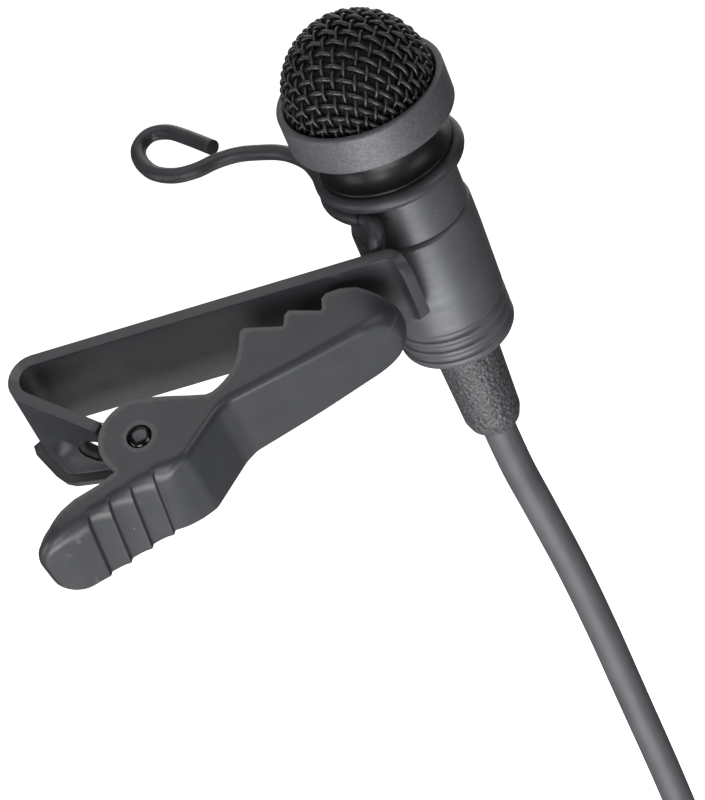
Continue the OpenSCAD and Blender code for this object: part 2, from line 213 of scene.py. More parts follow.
def sweep(path, radius, sides, first_normal, end_reach=0.6):
    """Vertices and faces of a round wire along a path. Its ends bulge by end_reach times its radius."""
    path = [Vector(p) for p in path]
    last = len(path) - 1
    normal = Vector(first_normal)
    rings = []
    for i, point in enumerate(path):
        tangent = (path[min(i + 1, last)] - path[max(i - 1, 0)]).normalized()
        normal = (normal - tangent * normal.dot(tangent)).normalized()
        rings.append((point, tangent, normal.copy(), radius))
    start, start_tangent, start_normal, _ = rings[0]
    end, end_tangent, end_normal, _ = rings[-1]
    head, tail = [], []
    for a in (15, 30, 50, 70, 85):
        ring_r, bulge = on_circle(radius, a)
        bulge *= end_reach
        head.insert(0, (start - start_tangent * bulge, start_tangent, start_normal, ring_r))
        tail.append((end + end_tangent * bulge, end_tangent, end_normal, ring_r))
    rings = head + rings + tail
    vertices = []
    for point, tangent, across, ring_r in rings:
        other = tangent.cross(across)
        for k in range(sides):
            x, y = on_circle(ring_r, 360 * k / sides)
            vertices.append(point + across * x + other * y)
    return vertices, tube_faces(len(rings), sides)


def inside(point, outline):
    found = False
    j = len(outline) - 1
    for i in range(len(outline)):
        (xi, yi), (xj, yj) = outline[i], outline[j]
        if (yi > point[1]) != (yj > point[1]):
            if point[0] < (xj - xi) * (point[1] - yi) / (yj - yi) + xi:
                found = not found
        j = i
    return found


def fill_outline(outline, holes, inner_points):
    """Triangles that fill an outline with holes, through the inner points."""
    points = [Vector(p) for p in outline]
    edges = [(i, (i + 1) % len(outline)) for i in range(len(outline))]
    for hole in holes:
        start = len(points)
        points += [Vector(p) for p in hole]
        edges += [(start + i, start + (i + 1) % len(hole)) for i in range(len(hole))]
    points += [Vector(p) for p in inner_points]
    made = delaunay_2d_cdt(points, edges, [], 0, 1e-6)
    vertices = made[0]
    faces = []
    for face in made[2]:
        middle = sum((vertices[i] for i in face), Vector((0, 0))) / len(face)
        if inside(middle, outline) and not any(inside(middle, hole) for hole in holes):
            faces.append(tuple(face))
    return vertices, faces


def subdivided(outline, longest, closed=True):
    """The outline with points added so that no edge is longer than a length."""
    out = []
    for p, q in zip(outline, outline[1:] + outline[:1] if closed else outline[1:]):
        p, q = Vector(p), Vector(q)
        count = max(1, math.ceil((q - p).length / longest))
        out += [p.lerp(q, k / count) for k in range(count)]
    return out if closed else out + [Vector(outline[-1])]


# ---- Lead ----

CABLE_R = 1.1
CABLE_EXIT = (5.8, 5.2, -16.6)
DROP_X = 7.6
DROP_Y = 2.5
CABLE_ROUTE = [
    (5.8, 5.2, -12), (5.8, 5.2, -14.5), CABLE_EXIT, (5.95, 5.2, -21), (6.3, 5.1, -25), (6.8, 4.8, -31),
    (7.1, 4.4, -37), (7.3, 3.8, -44), (7.5, 3.2, -51), (DROP_X, 2.7, -58), (DROP_X, DROP_Y, -64),
    (DROP_X, DROP_Y, -70), (DROP_X, DROP_Y, -77), (DROP_X, DROP_Y, -84),
]
TAIL_X = -1.6
TAIL_Y = 11.7
TAIL_ROUTE = [
    (-2.4, 10.1, -81), (TAIL_X, 11.1, -84.5), (TAIL_X, TAIL_Y, -89), (TAIL_X, TAIL_Y, -95),
    (TAIL_X, TAIL_Y, -101), (TAIL_X, TAIL_Y, -107), (TAIL_X, TAIL_Y, -113), (TAIL_X, TAIL_Y, -118),
]
COIL_CENTRE = Vector((-8.95, 5.95, -84))
TURN_GAP = 2.3
LAYERS = 5
LAYER_TURNS = 4
JOG = 45  # degrees that a turn takes to step over to its neighbour's place
COIL_STEP = 9  # degrees between the route's points
COIL_END = 6795  # degrees wound in all


def coil_place(wound):
    """Radius and height along Y of the lead after a number of degrees wound."""
    outer_r = DROP_X - COIL_CENTRE.x
    per_layer = 360 * LAYER_TURNS - 2 * JOG
    layer = min(LAYERS - 1, int(wound // per_layer))
    in_layer = wound - layer * per_layer
    radius = outer_r - TURN_GAP * layer
    if layer < LAYERS - 1:
        radius -= TURN_GAP * smoothstep(per_layer - 0.01, per_layer, in_layer)
    if layer > 0:
        radius += TURN_GAP * (1 - smoothstep(0, JOG, in_layer))
    turn = sum(smoothstep(360 * k - JOG, 360 * k, in_layer) for k in range(1, LAYER_TURNS))
    if layer % 2:
        turn = LAYER_TURNS - 1 - turn
    return radius, DROP_Y + TURN_GAP * turn


def coil_points():
    points = []
    for wound in range(0, COIL_END + 1, COIL_STEP):
        radius, y = coil_place(wound)
        x, z = on_circle(radius, -wound)
        points.append(Vector((COIL_CENTRE.x + x, y, COIL_CENTRE.z + z)))
    return points


def make_cord():
    route = smooth_path(CABLE_ROUTE, 5)
    coil = coil_points()
    tail = smooth_path([coil[-1]] + TAIL_ROUTE, 5)
    path = route[:-1] + coil[:-1] + tail
    made = sweep(path, CABLE_R, 18, (1, 0, 0), end_reach=0.05)
    tube = mesh_object("lead", *made, "microphone", "cable", None, ["cable", "cable_coil", "cable_end"])
    return tube, [point * MM for point in path]


lead, lead_path = make_cord()

# ---- Materials ----


class Nodes:
    """Short calls for building one material's node tree, with the object's place in millimetres."""

    def __init__(self, name):
        self.material = bpy.data.materials.new(name)
        self.material.use_nodes = True
        self.tree = self.material.node_tree
        self.shader = self.tree.nodes["Principled BSDF"]
        place = self.add("ShaderNodeTexCoord")
        scale = self.add("ShaderNodeVectorMath", operation="SCALE")
        scale.inputs["Scale"].default_value = 1 / MM
        self.link(place.outputs["Object"], scale.inputs[0])
        self.place = scale.outputs[0]
        self.bumps = []

    def add(self, kind, **settings):
        node = self.tree.nodes.new(kind)
        for key, value in settings.items():
            setattr(node, key, value)
        return node

    def link(self, start, end):
        self.tree.links.new(start, end)

    def give(self, socket, value):
        """Sets a socket to a number or a colour, or links an output to it."""
        if isinstance(value, (int, float)):
            socket.default_value = value
        elif isinstance(value, tuple):
            socket.default_value = (*value, 1)
        else:
            self.link(value, socket)

    def stretched(self, scale, turn=(0, 0, 0)):
        node = self.add("ShaderNodeMapping")
        node.inputs["Scale"].default_value = scale
        node.inputs["Rotation"].default_value = [math.radians(a) for a in turn]
        self.link(self.place, node.inputs["Vector"])
        return node.outputs[0]

    def noise(self, size, detail=3, roughness=0.55, place=None):
        """A noise pattern whose features are about size millimetres across."""
        node = self.add("ShaderNodeTexNoise")
        node.inputs["Scale"].default_value = 1 / size
        node.inputs["Detail"].default_value = detail
        node.inputs["Roughness"].default_value = roughness
        self.link(place or self.place, node.inputs["Vector"])
        return node.outputs["Fac"]

    def cells(self, size, output="Distance", feature="F1", place=None):
        node = self.add("ShaderNodeTexVoronoi", feature=feature)
        node.inputs["Scale"].default_value = 1 / size
        self.link(place or self.place, node.inputs["Vector"])
        return node.outputs[output]

    def ramp(self, value, low, high, start=0.3, end=0.7):
        """The value spread from low to high. Both are numbers, or both colours."""
        if isinstance(low, (int, float)):
            node = self.add("ShaderNodeMapRange")
            node.inputs["From Min"].default_value = start
            node.inputs["From Max"].default_value = end
            node.inputs["To Min"].default_value = low
            node.inputs["To Max"].default_value = high
            self.link(value, node.inputs["Value"])
            return node.outputs[0]
        node = self.add("ShaderNodeValToRGB")
        node.color_ramp.elements[0].position = start
        node.color_ramp.elements[1].position = end
        node.color_ramp.elements[0].color = (*low, 1)
        node.color_ramp.elements[1].color = (*high, 1)
        self.link(value, node.inputs[0])
        return node.outputs[0]

    def math(self, operation, a, b):
        node = self.add("ShaderNodeMath", operation=operation)
        self.give(node.inputs[0], a)
        self.give(node.inputs[1], b)
        return node.outputs[0]

    def mix(self, factor, a, b):
        node = self.add("ShaderNodeMix", data_type="RGBA")
        self.give(node.inputs[0], factor)
        self.give(node.inputs[6], a)
        self.give(node.inputs[7], b)
        return node.outputs[2]

    def bump(self, height, depth):
        """Adds a height pattern, depth millimetres deep, to the surface's normal."""
        node = self.add("ShaderNodeBump")
        node.inputs["Strength"].default_value = 1
        node.inputs["Distance"].default_value = depth * MM
        self.link(height, node.inputs["Height"])
        if self.bumps:
            self.link(self.bumps[-1], node.inputs["Normal"])
        self.bumps.append(node.outputs[0])

    def cell_values(self, size):
        """A random number from 0 to 1 for each cell."""
        colour = self.add("ShaderNodeSeparateColor")
        self.link(self.cells(size, "Color"), colour.inputs[0])
        return colour.outputs[0]

    def specks(self, spacing, share, radius):
        """1 in a small share of round specks, 0 elsewhere."""
        chosen = self.math("LESS_THAN", self.cell_values(spacing), share)
        near = self.ramp(self.cells(spacing), 1.0, 0.0, radius * 0.6, radius)
        return self.math("MULTIPLY", chosen, near)

    def finish(self, colour, roughness, metallic=0.0, specular=0.5, sheen=0.0):
        shader = self.shader
        self.give(shader.inputs["Base Color"], colour)
        self.give(shader.inputs["Roughness"], roughness)
        shader.inputs["Metallic"].default_value = metallic
        shader.inputs["Specular IOR Level"].default_value = specular
        shader.inputs["Sheen Weight"].default_value = sheen
        if self.bumps:
            self.link(self.bumps[-1], shader.inputs["Normal"])
        return self.material


def clip_paint():
    """Satin black coating on pressed steel: fine orange peel, light specks painted as glints of flakes in the
    coating and as a little dust, and sharp edges painted lighter, partly as wear and partly as a painted edge
    highlight.
    """
    n = Nodes("clip_paint")
    colour = n.ramp(n.noise(3.5), (0.026, 0.0275, 0.031), (0.034, 0.0355, 0.04))
    # Sharp outer edges are painted lighter: partly worn edges, partly a painted highlight for the shine that
    # their small rounding catches.
    edge = n.add("ShaderNodeNewGeometry").outputs["Pointiness"]
    colour = n.mix(n.ramp(edge, 0.0, 0.6, 0.55, 0.68), colour, (0.085, 0.087, 0.093))
    # Light specks: painted glints of flakes in the coating, and a little dust.
    colour = n.mix(n.specks(0.9, 0.035, 0.07), colour, (0.55, 0.55, 0.56))
    n.bump(n.noise(0.5, 2), 0.006)
    n.bump(n.noise(0.09, 3), 0.0025)
    roughness = n.ramp(n.noise(1.8, 4), 0.34, 0.46)
    return n.finish(colour, roughness, specular=0.5)


def wire_paint():
    n = Nodes("wire_paint")
    colour = n.ramp(n.noise(2.2), (0.028, 0.029, 0.033), (0.042, 0.043, 0.048))
    colour = n.mix(n.specks(0.8, 0.03, 0.07), colour, (0.5, 0.5, 0.5))
    n.bump(n.noise(0.35, 3), 0.008)
    return n.finish(colour, n.ramp(n.noise(0.9, 4), 0.38, 0.5), specular=0.4)


def collar_metal():
    """Bead-blasted anodised aluminium: a fine sparkle of dimples."""
    n = Nodes("collar_metal")
    colour = n.ramp(n.cell_values(0.07), (0.07, 0.071, 0.078), (0.12, 0.121, 0.13), 0.1, 0.95)
    n.bump(n.cells(0.07), 0.006)
    n.bump(n.noise(0.2, 2), 0.005)
    return n.finish(colour, n.ramp(n.noise(0.5, 3), 0.46, 0.58), metallic=0.3)


def neck_gloss():
    n = Nodes("neck_gloss")
    colour = n.ramp(n.noise(1.5), (0.008, 0.008, 0.009), (0.014, 0.014, 0.016))
    n.bump(n.noise(0.8, 2), 0.004)
    return n.finish(colour, n.ramp(n.noise(0.7, 4), 0.34, 0.44), specular=0.3)


def barrel_metal():
    """Satin anodised aluminium with the faint rings of its turning."""
    n = Nodes("barrel_metal")
    rings = n.noise(0.12, 2, place=n.stretched((0.04, 0.04, 1)))
    colour = n.ramp(n.noise(2.5), (0.085, 0.087, 0.094), (0.105, 0.107, 0.115))
    colour = n.mix(n.specks(0.9, 0.03, 0.06), colour, (0.5, 0.5, 0.5))
    n.bump(rings, 0.0018)
    n.bump(n.noise(0.06, 2), 0.0016)
    return n.finish(colour, n.ramp(rings, 0.42, 0.54), metallic=0.35, specular=0.5)


def grained_rubber():
    """Rubber with a coarse spark-eroded grain. Its small bumps are painted lighter as a painted highlight,
    and the hollows between them darker as painted shade.
    """
    n = Nodes("grained_rubber")
    grain = n.cells(0.2, feature="SMOOTH_F1")
    broad = n.noise(0.32, 3, 0.6)
    # Painted highlight and shade: lighter on the tops of the bumps, darker in the hollows between them.
    colour = n.ramp(grain, (0.085, 0.086, 0.091), (0.03, 0.031, 0.034), 0.15, 0.7)
    n.bump(grain, -0.1)
    n.bump(broad, 0.07)
    return n.finish(colour, n.ramp(broad, 0.34, 0.5), specular=0.5)


def cable_jacket():
    """Smooth extruded jacket with a satin skin."""
    n = Nodes("cable_jacket")
    colour = n.ramp(n.noise(3), (0.07, 0.071, 0.077), (0.09, 0.091, 0.098))
    colour = n.mix(n.specks(1.1, 0.03, 0.06), colour, (0.5, 0.5, 0.5))
    n.bump(n.noise(0.9, 2), 0.012)
    n.bump(n.noise(0.08, 3), 0.003)
    return n.finish(colour, n.ramp(n.noise(1.2, 4), 0.5, 0.6), specular=0.45)


def mesh_wire():
    n = Nodes("mesh_wire")
    colour = n.ramp(n.noise(0.8, 3), (0.008, 0.008, 0.009), (0.018, 0.018, 0.02))
    n.bump(n.noise(0.12, 3), 0.006)
    return n.finish(colour, n.ramp(n.noise(0.4, 4), 0.28, 0.42), specular=0.6)


def foam():
    n = Nodes("foam_cells")
    bubbles = n.cells(0.22, feature="DISTANCE_TO_EDGE")
    # Painted shade: each cell's hollow middle is darker than its raised walls.
    colour = n.ramp(bubbles, (0.03, 0.03, 0.031), (0.006, 0.006, 0.006), 0.02, 0.25)
    n.bump(bubbles, -0.08)
    return n.finish(colour, n.ramp(n.noise(0.3), 0.85, 0.95), specular=0.2)


def plated(name, low, high, roughness):
    """Bare or plated metal with fine rubbed scratches."""
    n = Nodes(name)
    rubbed = n.noise(0.1, 3, place=n.stretched((0.2, 0.2, 1)))
    colour = n.ramp(n.noise(1.2, 4), low, high)
    n.bump(rubbed, 0.002)
    return n.finish(colour, n.ramp(rubbed, roughness, roughness + 0.12), metallic=1.0)


def moulded(name, low, high, roughness):
    n = Nodes(name)
    colour = n.ramp(n.noise(0.9, 3), low, high)
    n.bump(n.noise(0.1, 3), 0.006)
    return n.finish(colour, n.ramp(n.noise(0.6, 3), roughness, roughness + 0.12))


def strap_loops():
    """Hook-and-loop strap: rows of small loops."""
    n = Nodes("strap_loops")
    loops = n.cells(0.3)
    # Painted shade: darker in the gaps between the raised loops, lighter on their tops.
    colour = n.ramp(loops, (0.05, 0.05, 0.053), (0.012, 0.012, 0.013), 0.1, 0.6)
    n.bump(loops, -0.12)
    n.bump(n.noise(0.12, 3), 0.05)
    return n.finish(colour, n.ramp(n.noise(0.5), 0.8, 0.95), specular=0.3, sheen=0.4)


CLIP_PAINT = clip_paint()
WIRE_PAINT = wire_paint()
COLLAR_METAL = collar_metal()
NECK_GLOSS = neck_gloss()
BARREL_METAL = barrel_metal()
RUBBER = grained_rubber()
CABLE_JACKET = cable_jacket()
MESH_WIRE = mesh_wire()
BARE_METAL = plated("bare_metal", (0.4, 0.4, 0.41), (0.55, 0.55, 0.56), 0.25)
PLUG_METAL = plated("plug_nickel", (0.62, 0.61, 0.59), (0.74, 0.73, 0.71), 0.14)
RIVET_METAL = plated("rivet_black", (0.05, 0.05, 0.055), (0.09, 0.09, 0.095), 0.14)
STRAP = strap_loops()

lead.data.materials.append(CABLE_JACKET)

CAD_FINISHES = {
    "foam_liner": foam(),
    "capsule": BARE_METAL,
    "capsule_gasket": moulded("gasket_rubber", (0.02, 0.02, 0.02), (0.035, 0.035, 0.036), 0.6),
    "capsule_leads": plated("copper_wire", (0.7, 0.36, 0.2), (0.8, 0.45, 0.27), 0.3),
    "circuit_board": moulded("solder_mask", (0.01, 0.09, 0.04), (0.015, 0.13, 0.06), 0.3),
    "cable_ferrule": BARE_METAL,
    "plug_boot": RUBBER,
    "plug_shell": BARREL_METAL,
    "locking_collar": PLUG_METAL,
    "plug_sleeve": PLUG_METAL,
    "plug_ring": PLUG_METAL,
    "plug_tip": PLUG_METAL,
    "plug_insulators": moulded("insulator_black", (0.012, 0.012, 0.012), (0.02, 0.02, 0.02), 0.4),
}
for cad_name, finish in CAD_FINISHES.items():
    cad_mesh = NODES[cad_name].data
    cad_mesh.materials.clear()
    cad_mesh.materials.append(finish)

# ---- Microphone head ----

DOME_R = 4.42  # the middle of the woven wires
SHEET_R = 4.5  # the radius that turns a distance on the flat weave into an angle
DOME_CENTRE_Z = -0.03
DOME_RIM_Z = -1.3


def woven_family(along, across, pitch, offset, radius, height, other, first):
    """One set of parallel wires of a plain weave, laid on the dome. other is the crossing set's
    (across, pitch, offset), and first is 1 or -1, for the wires that go over at a crossing or under."""
    other_across, other_pitch, other_offset = other
    vertices, faces = [], []
    widest = SHEET_R * math.acos((DOME_RIM_Z - DOME_CENTRE_Z) / DOME_R)
    step = pitch / 8
    for number in range(-12, 13):
        away = offset + number * pitch
        if abs(away) > widest - 0.25:
            continue
        half = math.sqrt(widest ** 2 - away ** 2)
        count = max(4, int(2 * half / step))
        path = []
        for k in range(count + 1):
            run = -half + 2 * half * k / count
            flat = Vector(across) * away + Vector(along) * run
            crossing = (flat.dot(Vector(other_across)) - other_offset) / other_pitch
            lift = first * (-1) ** number * height * math.cos(math.pi * crossing)
            polar = flat.length / SHEET_R
            direction = flat.normalized() if flat.length > 1e-6 else Vector((1, 0))
            up, out = on_circle(DOME_R + lift, math.degrees(polar))
            path.append(Vector((out * direction.x, out * direction.y, DOME_CENTRE_Z + up)))
        more_vertices, more_faces = sweep(path, radius, 10, (0.3, 0.2, 1))
        start = len(vertices)
        vertices += more_vertices
        faces += [tuple(start + i for i in face) for face in more_faces]
    return vertices, faces


def make_dome():
    weft = {"along": on_circle(1, -33), "across": on_circle(1, -123), "pitch": 0.77, "offset": -0.22}
    warp = {"along": on_circle(1, -117), "across": on_circle(1, -27), "pitch": 0.74, "offset": 0.3}
    weft_side = (weft["across"], weft["pitch"], weft["offset"])
    warp_side = (warp["across"], warp["pitch"], warp["offset"])
    weft = woven_family(**weft, radius=0.14, height=0.11, other=warp_side, first=1)
    warp = woven_family(**warp, radius=0.105, height=0.14, other=weft_side, first=-1)
    mesh_object("dome_weft", *weft, "microphone", "mesh", MESH_WIRE, "mesh_dome", HEAD_TO_ROW)
    mesh_object("dome_warp", *warp, "microphone", "mesh", MESH_WIRE, None, HEAD_TO_ROW)


make_dome()

COLLAR_R = 5.2
BARREL_R = 3.68
REAR_R = 3.85
STEP_Z = -9.6
BODY_LEN = 19.9
RIDGE_Z = (-17.1, -17.95, -18.8)
BOOT_END = -27.6
LATHE_STEPS = 96


def head_piece(name, outline, slot, material, node):
    revolve(name, outline, LATHE_STEPS, "microphone", slot, material, node, HEAD_TO_ROW)


def make_head_pieces():
    head_piece("collar_ring", fillet([
        (4.73, 0), (COLLAR_R, 0), (COLLAR_R, -2.45), (4.17, -2.45), (4.17, -1.5), (4.73, -1.5),
    ], [0.1, 0.16, 0.16, 0, 0, 0]), "collar", COLLAR_METAL, "cap_collar")
    arc = [on_circle(1, a) for a in range(78, -79, -6)]
    waist = [(3.35 + 1.1 * (1 - c), -3.7 + 1.25 * s) for c, s in arc]
    head_piece("neck_waist", [
        (2.5, -2.47), (4.5, -2.47), *waist,
        (4.16, -4.97), (4.2, -5.0), (4.2, -5.04), (4.16, -5.05), (2.5, -5.05),
    ], "neck", NECK_GLOSS, "neck")
    head_piece("barrel_tube", fillet([
        (2.9, -5.06), (BARREL_R, -5.06), (BARREL_R, STEP_Z), (2.9, STEP_Z),
    ], [0, 0.08, 0.08, 0]), "barrel", BARREL_METAL, "barrel")
    rear = [(2.35, STEP_Z - 0.02), (BARREL_R - 0.12, STEP_Z - 0.02)]
    rear += [(REAR_R - 0.02, STEP_Z - 0.22), (REAR_R, STEP_Z - 0.3), (REAR_R, -12), (REAR_R - 0.1, -16.72)]
    for z in RIDGE_Z:
        for a in range(70, -71, -14):
            deep, high = on_circle(0.3, a)
            rear.append((REAR_R - 0.02 - 0.85 * deep, z + high))
    rear += [(REAR_R - 0.1, -19.16)]
    for a in range(85, -1, -15):
        up, out = on_circle(1, a)
        rear.append((REAR_R - 0.85 + 0.75 * out, -BODY_LEN + 0.7 - 0.7 * up))
    rear += [(1.9, -BODY_LEN), (1.9, -19.2), (2.35, -19.2)]
    head_piece("rear_sleeve", rear, "barrel", BARREL_METAL, "rear_body")
    bore = CABLE_R + 0.01
    head_piece("boot", fillet([
        (bore, -18.2), (1.85, -18.2), (1.85, -BODY_LEN - 0.03), (2.12, -BODY_LEN - 0.03),
        (1.9, -26.75), (1.62, BOOT_END), (bore, BOOT_END),
    ], [0, 0, 0, 0.05, 0.8, 0.35, 0.05], 6), "rubber", RUBBER, "strain_relief")


make_head_pieces()

# ---- Wire holder and spring ----

WIRE_R = 0.5
RING_R = 4.25
UPPER_Z = -5.6
LOWER_Z = -6.65
PLATE_Y = 6.9
STRIP_T = 0.7
EYELET = [
    (-9.9, 8.7), (-11.1, 10.7), (-12.3, 12.4), (-13.5, 12.9), (-14.4, 12), (-14.5, 10.4), (-13.9, 8.6),
    (-12.7, 7.4), (-11.3, 7), (-10, 7.1), (-8.7, 6.9), (-7.5, 6.3), (-5.9, 5.1), (-4.75, 3.3), (-4.3, 1.5),
]


def clip_to_head(point):
    return CLIP_TO_ROW @ Vector(point) - HEAD


def ring_point(degrees):
    """A point of the ring round the neck, which steps down a wire's width on its second turn."""
    drop = (1 - math.cos(math.radians(2 * (min(540, max(450, degrees)) - 450)))) / 2
    return Vector((*on_circle(RING_R, degrees), UPPER_Z + (LOWER_Z - UPPER_Z) * drop))


def make_wire_holder():
    back_y = PLATE_Y + STRIP_T + WIRE_R + 0.02
    loop = smooth_path([(x, y, UPPER_Z) for x, y in EYELET] + [(-RING_R, 0, UPPER_Z)], 6)
    ring = [ring_point(a) for a in range(185, 586, 5)]
    arm = smooth_path([
        ring_point(590),
        (-2.4, -3.75, LOWER_Z - 0.02),
        (-2.3, -4.35, LOWER_Z - 0.2),
        (-2.5, -4.85, LOWER_Z - 0.7),
        clip_to_head((15.7, back_y, 2.5)),
        clip_to_head((15.4, back_y, 1.3)),
        clip_to_head((14.6, back_y, 0.3)),
        clip_to_head((13, back_y, 0)),
        clip_to_head((8.5, back_y, 0)),
    ], 12)
    made = sweep(loop[:-1] + ring + arm, WIRE_R, 18, (0, 0, 1), end_reach=0.12)
    mesh_object("holder_wire", *made, "clip", "wire", WIRE_PAINT, "wire_holder", HEAD_TO_ROW)


SPRING_R = 1.1
SPRING_WIRE_R = 0.24
SPRING_SPLIT = 140  # the helix's step at which the jaw's end of the spring stops
SPRING_OVERLAP = 5  # steps that the lever's end reaches back inside it, beyond the lever's turn


def make_spring():
    """The torsion spring round the rivet. Its jaw leg and most turns stay with the clip, and its last
    turn and thumb leg go with the lever, sliding round the coil."""
    helix = [(*on_circle(SPRING_R, 60.8 - 10 * i), 1.43 - 0.055 * i / 3) for i in range(157)]
    jaw_leg = [(-3.27, 3.09, 1.46), (-1.4, 2.03, 1.45), (-0.2, 1.35, 1.44)]
    thumb_leg = [(-1.9, -2.42, -1.45), (-4.29, -3.86, -1.46)]
    made = sweep(jaw_leg + helix[:SPRING_SPLIT + 1], SPRING_WIRE_R, 12, (0, 0, 1))
    mesh_object("spring_wire", *made, "clip", "bare_metal", BARE_METAL, "torsion_spring", CLIP_TO_ROW)
    made = sweep(helix[SPRING_SPLIT - SPRING_OVERLAP:] + thumb_leg, SPRING_WIRE_R - 0.004, 12, (0, 0, 1))
    mesh_object("spring_leg", *made, "lever", "bare_metal", BARE_METAL, "torsion_spring", CLIP_TO_ROW)


make_wire_holder()
make_spring()

# ---- Fixed jaw: one bent strip, measured along its middle surface ----

HALF_W = 3.6
BEND_X = -5.6
BEND_R = 1 + STRIP_T / 2
LEG_TURN = 140
TIP_BEND_X = 16.3
TIP_R = 0.6 + STRIP_T / 2
TIP_TURN = 65
LEG_ALL = 6.15  # the return leg's length, and how much of it is full width
LEG_FULL = 5.4
BEND_LEN = BEND_R * math.radians(LEG_TURN)
PLATE_LEN = TIP_BEND_X - BEND_X
TIP_LEN = TIP_R * math.radians(TIP_TURN) + 0.5
LIP_START = 3.02  # where the return leg's edge starts to turn up
LIP_ARC = 0.5
LIP_RISE = 0.5
DISH_DEPTH = 0.16  # how far the leg's middle lies below its raised near edge
BEND_SKEW = 0.32  # how much longer the plate is on its far side, so the bend lies at a slant
FAR_TURN = 119  # the big bend's turn on the far side, where the leg is pressed outward
FAR_RUN = 2.0  # from there to the leg's second bend
FAR_SECOND_R = 0.75
FAR_SECOND_TURN = 51


def run_on(start, heading, s, parts):
    """Point and left-hand normal after travelling s along a chain of (length, turn in degrees) parts."""
    point = Vector(start)
    for length, turn in parts:
        go = min(s, length)
        bend = math.radians(turn) * go / length
        if abs(bend) < 1e-6:
            point += Vector((math.cos(heading), math.sin(heading))) * go
        else:
            chord = 2 * go / bend * math.sin(bend / 2)
            point += Vector((math.cos(heading + bend / 2), math.sin(heading + bend / 2))) * chord
        heading += bend
        s -= go
        if s <= 0:
            break
    return point, Vector((math.sin(heading), -math.cos(heading)))


def strip_point(s, far_share):
    """Middle surface of the strip in the clip's plane: s is 0 at the big bend's upper end, rises towards
    the tip and falls round the bend into the return leg. far_share is 1 where the leg is pressed outward."""
    start = (BEND_X, PLATE_Y + STRIP_T / 2)
    if s >= 0:
        arc = TIP_R * math.radians(TIP_TURN)
        point, normal = run_on(start, 0, s, [(PLATE_LEN, 0), (arc, -TIP_TURN), (9, 0)])
        return point, -normal
    near, near_normal = run_on(start, math.pi, -s, [(BEND_LEN, LEG_TURN), (9, 0)])
    if far_share <= 0:
        return near, near_normal
    far_arc = BEND_R * math.radians(FAR_TURN)
    second_arc = FAR_SECOND_R * math.radians(FAR_SECOND_TURN)
    far, far_normal = run_on(start, math.pi, -s, [
        (far_arc, FAR_TURN), (FAR_RUN, 0), (second_arc, FAR_SECOND_TURN), (9, 0),
    ])
    return near.lerp(far, far_share), near_normal.lerp(far_normal, far_share).normalized()


def lip_height(s):
    """How far the return leg's far edge is turned up, at a place along the strip."""
    start = -BEND_R * math.radians(92)
    return LIP_RISE * smoothstep(start, start - 0.35, s)


def strip_place(s, z):
    along_leg = -s - BEND_LEN
    crease = -2.4 + 1.7 * smoothstep(-1.2, 2.4, along_leg)
    point, normal = strip_point(s, 1 - smoothstep(crease - 0.7, crease + 0.7, z))
    dished = smoothstep(crease - 0.3, crease + 1.5, z) * (1 - smoothstep(2.45, 3.3, z))
    dished *= smoothstep(-0.4, 1.4, along_leg)
    lift = -DISH_DEPTH * dished
    across = z
    turn = math.radians(80) * min(1, lip_height(s) / 0.3)
    if z < -LIP_START and turn > 1e-3:
        d = -z - LIP_START
        bent = min(d, LIP_ARC)
        rest = max(0, d - LIP_ARC)
        across = -LIP_START - LIP_ARC / turn * math.sin(turn * bent / LIP_ARC) - rest * math.cos(turn)
        lift = LIP_ARC / turn * (1 - math.cos(turn * bent / LIP_ARC)) + rest * math.sin(turn)
    skew = BEND_SKEW * (0.5 - z / (2 * HALF_W)) * (1 - smoothstep(-0.5, 5, s))
    return Vector((point.x - skew + normal.x * lift, point.y + normal.y * lift, across))


def strip_outline():
    leg_end = -BEND_LEN - LEG_ALL
    leg_wide = -BEND_LEN - LEG_FULL
    tip = PLATE_LEN + TIP_LEN
    near_side = fillet([
        (tip, 0), (tip, HALF_W), (leg_wide, HALF_W), (leg_wide, 2.9), (leg_end, 2.9), (leg_end, 0),
    ], [0, 1.5, 0.35, 0.15, 0.25, 0], 8)
    far_side = [Vector((p.x, -p.y)) for p in reversed(near_side)][1:-1]
    outline = subdivided(near_side + far_side, 0.3)
    grown = []
    for p in outline:
        extra = lip_height(p.x)
        if p.y < -3.3 and extra > 0:
            p = Vector((p.x, p.y - extra))
        grown.append(p)
    return grown


def strip_slot():
    """The opening in the return leg, as (distance along the leg, place across it)."""
    corners = [(2.8, -0.35), (3.75, 0.95), (5.2, 1.9), (5.2, -2.0), (3.9, -2.0)]
    return subdivided(fillet([(-BEND_LEN - a, z) for a, z in corners], [0.5, 0.8, 0.3, 0.3, 0.4], 8), 0.25)


def make_slot_rim(hole):
    """A wall pressed inward round the opening in the return leg."""
    middle = sum(hole, Vector((0, 0))) / len(hole)
    profile = [(0.14, -0.1), (0.14, -0.64), (0.08, -0.7), (-0.06, -0.7), (-0.12, -0.64), (-0.02, 0.2)]
    vertices = []
    for p in hole:
        away = (p - middle).normalized()
        for out, depth in profile:
            q = p + away * out
            here = strip_place(q.x, q.y)
            along = strip_place(q.x + 0.05, q.y) - here
            across = strip_place(q.x, q.y + 0.05) - here
            normal = along.cross(across).normalized()
            if normal.dot(Vector((-1, -1, 0))) < 0:
                normal = -normal
            vertices.append(here + normal * depth)
    faces = tube_faces(len(hole), len(profile), True)
    mesh_object("jaw_slot_rim", vertices, faces, "clip", "clip", CLIP_PAINT, None, CLIP_TO_ROW)


